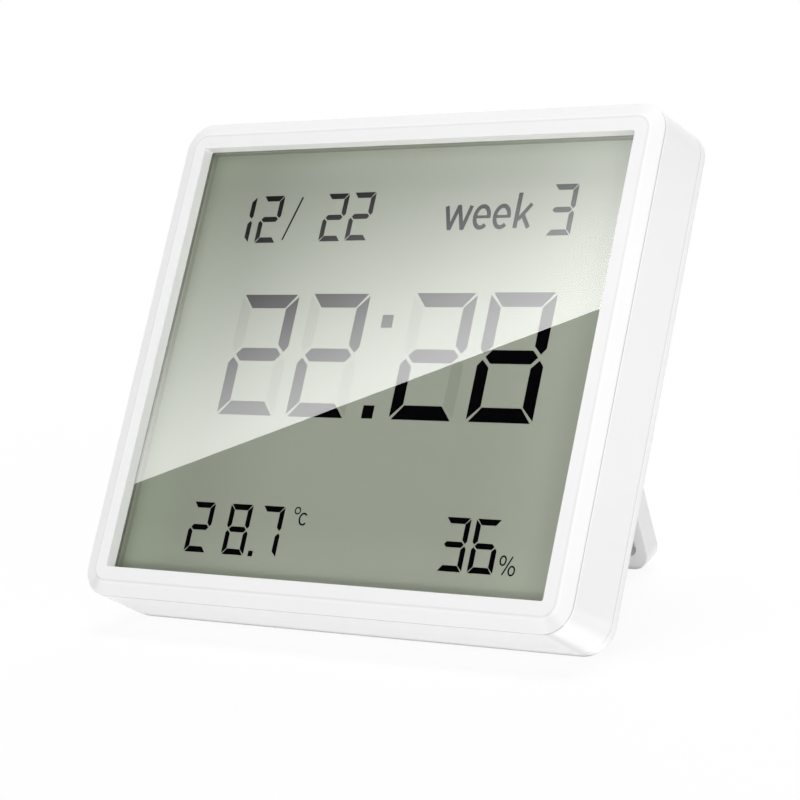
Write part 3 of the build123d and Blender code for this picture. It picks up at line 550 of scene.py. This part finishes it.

# Plain moulded, cast and rolled finishes: colour, drift, grain per metre, roughness, bump depth, and for two of
# them the group of painted light and shade laid on the colour
finishes = dict(
    whiteShell=dict(colour=rgb(240, 240, 240), drift=rgb(238, 238, 238), grain=5200.0, broad=30.0,
                    roughness=0.32, spread=0.1, bump=0.003, paintedShading="shell"),
    # the stand's white is darker than the shell's as painted shade, for it stands behind the case
    standWhitePaintedShade=dict(colour=rgb(228, 228, 228), drift=rgb(225, 225, 225), grain=5200.0, broad=30.0,
                    roughness=0.36, spread=0.1, bump=0.003),
    keyWhite=dict(colour=rgb(236, 236, 237), drift=rgb(232, 232, 233), grain=7000.0, broad=200.0,
                  roughness=0.34, spread=0.1, bump=0.003),
    gasketOlive=dict(colour=rgb(156, 161, 147), drift=rgb(150, 155, 141), grain=4000.0, broad=300.0,
                     roughness=0.85, spread=0.2, bump=0.03, paintedShading="gasket"),
    tapeGrey=dict(colour=rgb(240, 240, 235), drift=rgb(234, 234, 229), grain=3000.0, broad=200.0,
                  roughness=0.7, spread=0.1, bump=0.006),
    carrierGrey=dict(colour=rgb(222, 222, 218), drift=rgb(214, 214, 210), grain=3500.0, broad=90.0,
                     roughness=0.5, spread=0.15, bump=0.006),
    reflector=dict(colour=rgb(196, 200, 190), drift=rgb(188, 192, 182), grain=9000.0, broad=120.0,
                   roughness=0.55, spread=0.2, bump=0.002),
    zebra=dict(colour=rgb(60, 60, 62), drift=rgb(40, 40, 42), grain=6000.0, broad=900.0,
               roughness=0.75, spread=0.1, bump=0.01),
    boardGreen=dict(colour=rgb(20, 108, 66), drift=rgb(14, 92, 54), grain=2600.0, broad=500.0,
                    roughness=0.35, spread=0.2, bump=0.01),
    shieldMetal=dict(colour=rgb(200, 199, 194), drift=rgb(184, 184, 180), grain=2400.0, broad=300.0,
                     roughness=0.32, spread=0.2, bump=0.004, metal=1),
    chipBlack=dict(colour=rgb(40, 40, 42), drift=rgb(32, 32, 34), grain=8000.0, broad=700.0,
                   roughness=0.6, spread=0.2, bump=0.004),
    contactMetal=dict(colour=rgb(214, 209, 196), drift=rgb(200, 196, 184), grain=3000.0, broad=400.0,
                      roughness=0.22, spread=0.15, bump=0.002, metal=1),
    cellMetal=dict(colour=rgb(205, 205, 204), drift=rgb(190, 190, 190), grain=3200.0, broad=500.0,
                   roughness=0.28, spread=0.2, bump=0.003, metal=1),
    screwMetal=dict(colour=rgb(196, 196, 198), drift=rgb(176, 176, 180), grain=5000.0, broad=800.0,
                    roughness=0.3, spread=0.2, bump=0.003, metal=1),
    switchBlack=dict(colour=rgb(46, 46, 48), drift=rgb(38, 38, 40), grain=5000.0, broad=500.0,
                     roughness=0.5, spread=0.15, bump=0.005),
)


def finishMaterial(name):
    look = finishes[name]
    material, tree, shader = newMaterial(name)
    place = objectPlace(tree)
    grain = placeGroup(tree, grainGroup, place, Colour=look["colour"], Drift=look["drift"],
                       Grain=look["grain"], Broad=look["broad"], Roughness=look["roughness"],
                       Spread=look["spread"])
    colour = grain.outputs["Colour"]
    # painted light and shade from the shell's or the gasket's group, laid on the colour
    if "paintedShading" in look:
        paintedShading = placeGroup(tree, paintedShadingGroups[look["paintedShading"]], place)
        colour = scaleNode(tree, colour, paintedShading.outputs["Painted Shading"])
    tree.links.new(colour, shader.inputs["Base Color"])
    tree.links.new(grain.outputs["Roughness"], shader.inputs["Roughness"])
    shader.inputs["Metallic"].default_value = look.get("metal", 0)
    bumpFrom(tree, grain.outputs["Height"], shader, look["bump"] * mm)
    return material


def filmMaterial(name, dim):
    material, tree, shader = newMaterial(name)
    place = objectPlace(tree)
    colour = placeGroup(tree, filmGroup, place, Dim=dim)
    tree.links.new(colour.outputs["Colour"], shader.inputs["Base Color"])
    grain = placeGroup(tree, grainGroup, place, Grain=9000.0, Broad=60.0, Roughness=0.6, Spread=0.1)
    tree.links.new(grain.outputs["Roughness"], shader.inputs["Roughness"])
    bumpFrom(tree, grain.outputs["Height"], shader, 0.001 * mm)
    shader.inputs["Specular IOR Level"].default_value = 0.1
    return material


def inkMaterial():
    material, tree, shader = newMaterial("segmentInk")
    grain = placeGroup(tree, grainGroup, objectPlace(tree), Colour=rgb(5, 5, 7), Drift=rgb(8, 8, 9),
                       Grain=9000.0, Broad=300.0, Roughness=0.6, Spread=0.1)
    tree.links.new(grain.outputs["Colour"], shader.inputs["Base Color"])
    tree.links.new(grain.outputs["Roughness"], shader.inputs["Roughness"])
    shader.inputs["Specular IOR Level"].default_value = 0
    return material


def windowMaterial():
    # a clear sheet whose front face reflects; light for what lies behind passes straight through
    material, tree, shader = newMaterial("windowClear")
    shader.inputs["Base Color"].default_value = (0.985, 0.995, 0.985, 1)
    shader.inputs["Transmission Weight"].default_value = 1
    shader.inputs["Roughness"].default_value = 0
    shader.inputs["IOR"].default_value = 1.0
    shader.inputs["Coat IOR"].default_value = 1.9
    shader.inputs["Coat Roughness"].default_value = 0
    side = addNode(tree, "ShaderNodeNewGeometry").outputs
    tree.links.new(mathNode(tree, "SUBTRACT", 1, side["Backfacing"]), shader.inputs["Coat Weight"])
    path = addNode(tree, "ShaderNodeLightPath").outputs
    passes = mathNode(tree, "MAXIMUM", path["Is Shadow Ray"], path["Is Diffuse Ray"])
    clear = addNode(tree, "ShaderNodeBsdfTransparent")
    surface = mixShader(tree, passes, shader.outputs[0], clear.outputs[0])
    tree.links.new(surface, tree.nodes["Material Output"].inputs["Surface"])
    return material


def glassMaterial():
    material, tree, shader = newMaterial("displayGlass")
    grain = placeGroup(tree, grainGroup, objectPlace(tree), Colour=rgb(225, 232, 224),
                       Drift=rgb(220, 228, 220), Grain=900.0, Broad=60.0, Roughness=0.05, Spread=0.03)
    tree.links.new(grain.outputs["Colour"], shader.inputs["Base Color"])
    tree.links.new(grain.outputs["Roughness"], shader.inputs["Roughness"])
    shader.inputs["Transmission Weight"].default_value = 0.8
    shader.inputs["IOR"].default_value = 1.52
    return material


materials = {name: finishMaterial(name) for name in finishes}
materials["polariser"] = filmMaterial("polariser", 1.0)
materials["polariserIdle"] = filmMaterial("polariserIdle", film["idleDim"])
materials["segmentInk"] = inkMaterial()
materials["windowClear"] = windowMaterial()
materials["displayGlass"] = glassMaterial()

# The finish of each CAD node, by the record's slot
slotFinish = dict(
    white_shell="whiteShell", window_clear="windowClear", gasket_olive="gasketOlive",
    tape_grey="tapeGrey", polariser="polariser", display_glass="displayGlass",
    reflector="reflector", zebra="zebra", carrier_grey="carrierGrey", board_green="boardGreen",
    shield_metal="shieldMetal", chip_black="chipBlack", contact_metal="contactMetal",
    cell_metal="cellMetal", screw_metal="screwMetal", switch_black="switchBlack",
    key_white="keyWhite",
)
# the stand takes the darker white, which is painted shade
ownFinish = dict(stand="standWhitePaintedShade")
for part in frame["record"]["subparts"]:
    slots = nodes[part["node"]].data.materials
    slots.clear()
    slots.append(materials[ownFinish.get(part["node"], slotFinish[part["material_slot"]])])
nodes["front_bezel"].visible_glossy = False     # so that the glow on the window reaches over the gasket

buildCamera()
buildWorld()
buildLamps()
buildFloor()
buildGlareCard()
print("stage: studio and camera")

# Flat frames and sheets on the case, made from rounded rectangles
def roundedRing(halfWide, halfHigh, corner, steps):
    # points round a rectangle with rounded corners, about its centre
    points = []
    for quarter in range(4):
        signX = 1 if quarter in (0, 3) else -1
        signY = 1 if quarter in (0, 1) else -1
        for number in range(steps + 1):
            turn = math.radians(90 * quarter + 90 * number / steps)
            points.append((signX * (halfWide - corner) + corner * math.cos(turn),
                           signY * (halfHigh - corner) + corner * math.sin(turn)))
    return points


def placeRing(mesh, points, depth, centre=(0, 0)):
    return [mesh.verts.new(onCase(centre[0] + x, centre[1] + y, depth)) for x, y in points]


def bridgeRings(mesh, first, second):
    for number in range(len(first)):
        after = (number + 1) % len(first)
        mesh.faces.new((first[number], first[after], second[after], second[number]))


# The window's sheet: the node's own outline with a polished edge, and a hair of air behind it
sheet = dict(corner=1.0, corners=6, edge=0.12, air=0.02)


def buildSheet():
    halfWide, halfHigh = windowWidth / 2 / mm, windowHeight / 2 / mm
    centre = ((windowCentre - faceCentre).dot(across) / mm, (windowCentre - faceCentre).dot(up) / mm)
    back = windowSunk + windowThick / mm - sheet["air"]
    edge = sheet["edge"]
    mesh = bmesh.new()
    rings = []
    for inset, depth in ((edge, windowSunk), (0, windowSunk + edge), (0, back - edge), (edge, back)):
        points = roundedRing(halfWide - inset, halfHigh - inset, sheet["corner"] - inset, sheet["corners"])
        rings.append(placeRing(mesh, points, depth, centre))
    for first, second in zip(rings, rings[1:]):
        bridgeRings(mesh, first, second)
    mesh.faces.new(rings[0])
    mesh.faces.new(rings[-1])
    piece = finishMesh(mesh, "window_sheet", "windowClear", "case")
    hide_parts("display_window")


# The tape that holds the window: its inner edge fills the slit at the foot of the opening's wall
tape = dict(insideHalf=(40.55, 35.12), outsideHalf=(41.8, 36.35), insideCorner=0.35, outsideCorner=1.0,
            corners=4, bulge=0.03, depths=(1.76, 1.91))


def buildTape():
    mesh = bmesh.new()
    first, last = tape["depths"]
    insideX, insideY = tape["insideHalf"]
    bulge = tape["bulge"]
    outside = roundedRing(*tape["outsideHalf"], tape["outsideCorner"], tape["corners"])
    inside = roundedRing(insideX, insideY, tape["insideCorner"], tape["corners"])
    bulged = roundedRing(insideX - bulge, insideY - bulge, tape["insideCorner"], tape["corners"])
    rings = [placeRing(mesh, points, depth) for points, depth in (
        (outside, first), (inside, first), (bulged, (first + last) / 2), (inside, last), (outside, last))]
    for ring, following in zip(rings, rings[1:] + rings[:1]):
        bridgeRings(mesh, ring, following)
    piece = finishMesh(mesh, "window_tape_frame", "tapeGrey", "case")
    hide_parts("window_tape")


# The four screws of the rear cover: a low head with a cross recess, on the CAD screws' axes
screws = dict(headRadius=1.8, headThick=0.8, dome=0.22, domeFrom=0.66, domeSteps=4, edge=0.16,
              rim=[(0.04, 0.06), (0, 0.2)], foot=0.05,      # rim: inward and down from the dome's foot
              radius=0.9, length=3.7, tipCut=0.3, crossHalf=0.19, crossReach=0.92, crossTaper=0.9,
              crossDeep=0.5, sides=32, seed=4)


def screwSection():
    # half outline of a screw from the land round its cross to its tip, as reach and height
    radius, head, foot = screws["radius"], screws["headRadius"], screws["foot"]
    rim = screws["headThick"] - screws["dome"]
    points = []
    for step in range(screws["domeSteps"] + 1):
        share = screws["domeFrom"] + (1 - screws["domeFrom"]) * step / screws["domeSteps"]
        reach = (head - screws["edge"]) * share
        points.append((reach, screws["headThick"] - screws["dome"] * (reach / head) ** 2))
    points += [(head - inward, rim - down) for inward, down in screws["rim"]]
    points += [(head, foot), (head - foot, 0), (radius, 0),
               (radius, screws["tipCut"] - screws["length"]), (radius - screws["tipCut"], -screws["length"])]
    return points


def oneScrew():
    # one screw at the origin, its cross recess sunk into the land in the middle of the head
    mesh = bmesh.new()
    sides = screws["sides"]
    turns = [2 * math.pi * number / sides for number in range(sides)]
    rings = [[mesh.verts.new((reach * math.cos(turn), reach * math.sin(turn), height)) for turn in turns]
             for reach, height in screwSection()]
    for first, second in zip(rings, rings[1:]):
        bridgeRings(mesh, first, second)
    mesh.faces.new(rings[-1])
    top = rings[0][0].co.z
    half, long = screws["crossHalf"], rings[0][0].co.x * screws["crossReach"]
    tips = []
    for quarter in range(4):
        turn = Matrix.Rotation(math.radians(90 * quarter), 2)
        tips += [turn @ Vector(point) for point in ((long, -half), (long, half), (half, half))]
    rims = []
    for shrink, height in ((1, top), (screws["crossTaper"], top - screws["crossDeep"])):
        rims.append([mesh.verts.new((tip.x * shrink, tip.y * shrink, height)) for tip in tips])
    bridgeRings(mesh, *rims)
    mesh.faces.new(rims[1])
    edges = [mesh.edges.get((ring[number - 1], ring[number]))
             for ring in (rings[0], rims[0]) for number in range(len(ring))]
    bmesh.ops.triangle_fill(mesh, use_beauty=True, use_dissolve=False, edges=edges)
    bmesh.ops.recalc_face_normals(mesh, faces=mesh.faces)
    data = bpy.data.meshes.new("oneScrew")
    mesh.to_mesh(data)
    mesh.free()
    data.transform(Matrix.Scale(mm, 4))
    return data


def screwTree():
    # puts the modifier's own mesh on the four corners of a grid, each turned at random
    tree = bpy.data.node_groups.new("cornerScrews", "GeometryNodeTree")
    tree.interface.new_socket("Geometry", in_out="INPUT", socket_type="NodeSocketGeometry")
    sockets = {}
    kinds = (("Between X", "Float"), ("Between Y", "Float"), ("Seed", "Int"), ("Finish", "Material"))
    for label, kind in kinds:
        sockets[label] = tree.interface.new_socket(label, in_out="INPUT", socket_type="NodeSocket" + kind)
    tree.interface.new_socket("Geometry", in_out="OUTPUT", socket_type="NodeSocketGeometry")
    start, end = tree.nodes.new("NodeGroupInput"), tree.nodes.new("NodeGroupOutput")
    grid = tree.nodes.new("GeometryNodeMeshGrid")
    grid.inputs["Vertices X"].default_value = 2
    grid.inputs["Vertices Y"].default_value = 2
    spread = tree.nodes.new("GeometryNodeInstanceOnPoints")
    turn = tree.nodes.new("FunctionNodeRandomValue")
    turn.data_type = "FLOAT_VECTOR"
    turn.inputs["Min"].default_value = (0, 0, 0)
    turn.inputs["Max"].default_value = (0, 0, math.tau)
    real = tree.nodes.new("GeometryNodeRealizeInstances")
    finish = tree.nodes.new("GeometryNodeSetMaterial")
    link = tree.links.new
    link(start.outputs["Between X"], grid.inputs["Size X"])
    link(start.outputs["Between Y"], grid.inputs["Size Y"])
    link(start.outputs["Seed"], turn.inputs["Seed"])
    link(start.outputs["Finish"], finish.inputs["Material"])
    link(grid.outputs["Mesh"], spread.inputs["Points"])
    link(start.outputs["Geometry"], spread.inputs["Instance"])
    link(turn.outputs["Value"], spread.inputs["Rotation"])
    link(spread.outputs["Instances"], real.inputs["Geometry"])
    link(real.outputs["Geometry"], finish.inputs["Geometry"])
    link(finish.outputs["Geometry"], end.inputs["Geometry"])
    return tree, sockets


def screwPlace():
    # half the distances between the axes and the depth of the heads' seat, from the CAD screws
    places = [vertex.co for vertex in nodes["cover_screws"].data.vertices]
    centred = [place - faceCentre for place in places]
    return (max(place.dot(across) for place in centred) / mm - screws["headRadius"],
            max(place.dot(up) for place in centred) / mm - screws["headRadius"],
            max(depthOf(place) for place in places) - screws["headThick"])


def buildScrews():
    halfX, halfY, seat = screwPlace()
    tree, sockets = screwTree()
    piece = bpy.data.objects.new("screw_set", oneScrew())
    scene.collection.objects.link(piece)
    modifier = piece.modifiers.new("cornerScrews", "NODES")
    modifier.node_group = tree
    values = {"Between X": halfX * 2 * mm, "Between Y": halfY * 2 * mm, "Seed": screws["seed"],
              "Finish": materials["screwMetal"]}
    for label, value in values.items():
        modifier[sockets[label].identifier] = value
    made = bpy.data.meshes.new_from_object(piece.evaluated_get(bpy.context.evaluated_depsgraph_get()))
    piece.modifiers.remove(modifier)
    # the heads look to the rear, so the set is turned over as it goes onto the case
    behind = Matrix.Translation((0, 0, -seat * mm))
    made.transform(caseTurn @ behind @ Matrix.Rotation(math.pi, 4, "X"))
    piece.data = made
    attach(piece, "case")
    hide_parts("cover_screws")


# The display's figures: seven bars each, in millimetres on the face
figures = dict(
    thick=0.02,
    largeBar=2.12,
    smallBar=0.86,
    rows=[
        # figure, left edge, lower edge, width, height
        ("large", "2", -28.61, -8.64, 11.31, 19.84), ("large", "2", -14.84, -8.64, 11.36, 19.98),
        ("large", "2", 4.85, -8.57, 11.53, 20.02), ("large", "8", 18.83, -8.55, 11.6, 20.1),
        ("small", "1", -34.68, 20.02, 4.29, 7.9), ("small", "2", -29.02, 19.98, 4.29, 7.97),
        ("small", "2", -16.11, 20.07, 4.29, 7.98), ("small", "2", -10.98, 20.14, 4.34, 8.0),
        ("small", "3", 26.05, 20.44, 4.37, 8.1), ("small", "2", -28.9, -30.96, 4.36, 8.0),
        ("small", "8", -21.38, -30.96, 4.34, 8.0), ("small", "7", -15.14, -30.96, 4.36, 8.0),
        ("small", "3", 19.03, -31.07, 4.4, 8.07), ("small", "6", 24.4, -31.07, 4.38, 8.07),
    ],
    squares=[(-0.3, 5.88, 2.06), (-0.3, -8.56, 2.06), (-16.1, -31.0, 0.86)],     # left, lower edge, side
    # ends of the bars, in widths of a bar
    flat=1.06, flatTips=(0.19, 0.17), flatFeet=(1.12, 1.1),
    sideTop=(0.17, 1.13), sideLow=((1, 0.81), (0.38, 0.22), (0, 0.65)), middleTip=0.56, middleFoot=1.06,
)
# which bars each figure lights, named clockwise from the top, then the middle one
litBars = {
    "1": "bc", "2": "abged", "3": "abgcd", "6": "afgedc", "7": "abc", "8": "abcdefg",
}

# Signs of thin strokes: width of the stroke and its points, in millimetres on the face
signs = dict(
    slashes=[(0.32, (-23.42, 20.42), (-21.04, 27.62)), (0.22, (30.42, -31.0), (31.78, -28.22))],
    rings=[(0.2, (-8.34, -23.44), 0.5, 0.5), (0.24, (30.22, -28.9), 0.48, 0.66),
           (0.24, (31.93, -30.32), 0.5, 0.66)],
    arcs=[(0.27, (-7.0, -24.7), 0.71, 0.88, 42, 318)],
    weekday=[
        (0.68, (7.44, 25.46), (8.42, 21.9), (8.57, 21.9), (9.64, 25.3), (9.78, 25.3), (10.78, 21.9),
         (10.93, 21.9), (11.94, 25.46)),
        (0.74, (20.43, 21.73), (20.43, 27.37)),
        (0.64, (20.77, 23.05), (22.75, 25.55)),
        (0.68, (21.52, 23.72), (22.83, 21.73)),
    ],
    letterE=[(12.54, 15.71), (16.15, 19.33)],        # left and right of each round letter
    eSize=dict(low=21.55, high=25.66, bar=23.62, stroke=0.68, barStroke=0.46, barEnd=0.02, ends=(0, 314)),
    rise=0.004,                 # of a stroke that crosses another one
    sharpest=0.35,              # limit of the mitre where a stroke turns
    roundSteps=40,
)


def barOutlines(width, height, bar):
    # outlines of the seven bars from the figure's lower left corner, with mitred ends
    middle, half = height / 2, bar / 2
    flat = bar * figures["flat"]
    tipLeft, tipRight = (bar * share for share in figures["flatTips"])
    footLeft, footRight = (bar * share for share in figures["flatFeet"])
    outerTop, innerTop = (bar * share for share in figures["sideTop"])
    tip, foot = bar * figures["middleTip"], bar * figures["middleFoot"]
    bars = {
        "a": [(tipLeft, height), (footLeft, height - flat), (width - footRight, height - flat),
              (width - tipRight, height)],
        "b": [(width, height - outerTop), (width - bar, height - innerTop)]
        + [(width - bar * inward, middle + bar * rise) for inward, rise in figures["sideLow"]],
        "g": [(tip, middle), (foot, middle + half), (width - foot, middle + half),
              (width - tip, middle), (width - foot, middle - half), (foot, middle - half)],
    }
    bars["c"] = [(x, height - y) for x, y in bars["b"]]
    bars["d"] = [(x, height - y) for x, y in bars["a"]]
    bars["f"] = [(width - x, y) for x, y in bars["b"]]
    bars["e"] = [(width - x, height - y) for x, y in bars["b"]]
    return bars


def figurePrism(mesh, outline):
    # a flat outline as a thin closed solid on the film
    frontRing = placeRing(mesh, outline, filmDepth - figures["thick"])
    backRing = placeRing(mesh, outline, filmDepth)
    bridgeRings(mesh, frontRing, backRing)
    mesh.faces.new(frontRing)
    mesh.faces.new(backRing)


def strokePrism(mesh, width, points, closed=False, rise=0.0):
    # a stroke of even width along the points, as a chain of thin closed solids
    points = [Vector(point) for point in points]
    count = len(points)
    edges = []
    for number, point in enumerate(points):
        before = points[number - 1] if closed or number else None
        after = points[(number + 1) % count] if closed or number < count - 1 else None
        ways = [(b - a).normalized() for a, b in ((before, point), (point, after))
                if a is not None and b is not None]
        way = sum(ways, Vector((0, 0))).normalized()
        side = Vector((-way.y, way.x))
        reach = width / 2 / max(signs["sharpest"], way.dot(ways[0]))
        edges.append((point + side * reach, point - side * reach))
    spans = range(count if closed else count - 1)
    layers = []
    for depth in (filmDepth - figures["thick"] - rise, filmDepth):
        layers.append([[mesh.verts.new(onCase(*place, depth)) for place in pair] for pair in edges])
    top, base = layers
    for number in spans:
        following = (number + 1) % count
        (a, b), (c, d) = top[number], top[following]
        (e, f), (g, h) = base[number], base[following]
        for face in ((a, b, d, c), (e, g, h, f), (a, c, g, e), (b, f, h, d)):
            mesh.faces.new(face)
    if not closed:
        for upper, lower in ((top[0], base[0]), (top[-1], base[-1])):
            mesh.faces.new((upper[0], lower[0], lower[1], upper[1]))


def ringPoints(centre, wide, tall, first=0, last=360):
    steps = signs["roundSteps"]
    count = steps if last - first >= 360 else steps + 1
    turns = [math.radians(first + (last - first) * step / steps) for step in range(count)]
    return [(centre[0] + wide * math.cos(turn), centre[1] + tall * math.sin(turn)) for turn in turns]


def buildSigns(mesh):
    letterW, upright, *crossing = signs["weekday"]
    for width, *points in signs["slashes"] + [upright, letterW]:
        strokePrism(mesh, width, points)
    for width, *points in crossing:
        strokePrism(mesh, width, points, rise=signs["rise"])
    for width, centre, wide, tall in signs["rings"]:
        strokePrism(mesh, width, ringPoints(centre, wide, tall), closed=True)
    for width, centre, wide, tall, first, last in signs["arcs"]:
        strokePrism(mesh, width, ringPoints(centre, wide, tall, first, last))
    size = signs["eSize"]
    stroke = size["stroke"]
    for left, right in signs["letterE"]:
        centre = ((left + right) / 2, (size["low"] + size["high"]) / 2)
        wide, tall = (right - left - stroke) / 2, (size["high"] - size["low"] - stroke) / 2
        strokePrism(mesh, stroke, ringPoints(centre, wide, tall, *size["ends"]))
        ends = [(left + stroke / 2, size["bar"]), (right - size["barEnd"], size["bar"])]
        strokePrism(mesh, size["barStroke"], ends, rise=signs["rise"])
    for left, low, side in figures["squares"]:
        figurePrism(mesh, [(left, low), (left + side, low), (left + side, low + side), (left, low + side)])


def finishMesh(mesh, name, finish, body):
    # the bmesh as a piece of its own, with its finish, slot and body
    bmesh.ops.recalc_face_normals(mesh, faces=mesh.faces)
    data = bpy.data.meshes.new(name)
    mesh.to_mesh(data)
    mesh.free()
    data.materials.append(materials[finish])
    piece = bpy.data.objects.new(name, data)
    scene.collection.objects.link(piece)
    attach(piece, body)
    return piece


def buildFigures():
    lit, idle = bmesh.new(), bmesh.new()
    for style, figure, left, low, width, height in figures["rows"]:
        for bar, outline in barOutlines(width, height, figures[style + "Bar"]).items():
            placed = [(left + x, low + y) for x, y in outline]
            if bar in litBars[figure]:
                figurePrism(lit, placed)
            elif style == "large":
                figurePrism(idle, placed)
    buildSigns(lit)
    finishMesh(lit, "display_figures", "segmentInk", "case")
    finishMesh(idle, "display_idle_bars", "polariserIdle", "case")


buildSheet()
buildTape()
buildFigures()
print("stage: window sheet, tape and display figures")
buildScrews()
print("stage: screws of the rear cover")

scene.view_settings.view_transform = "Standard"
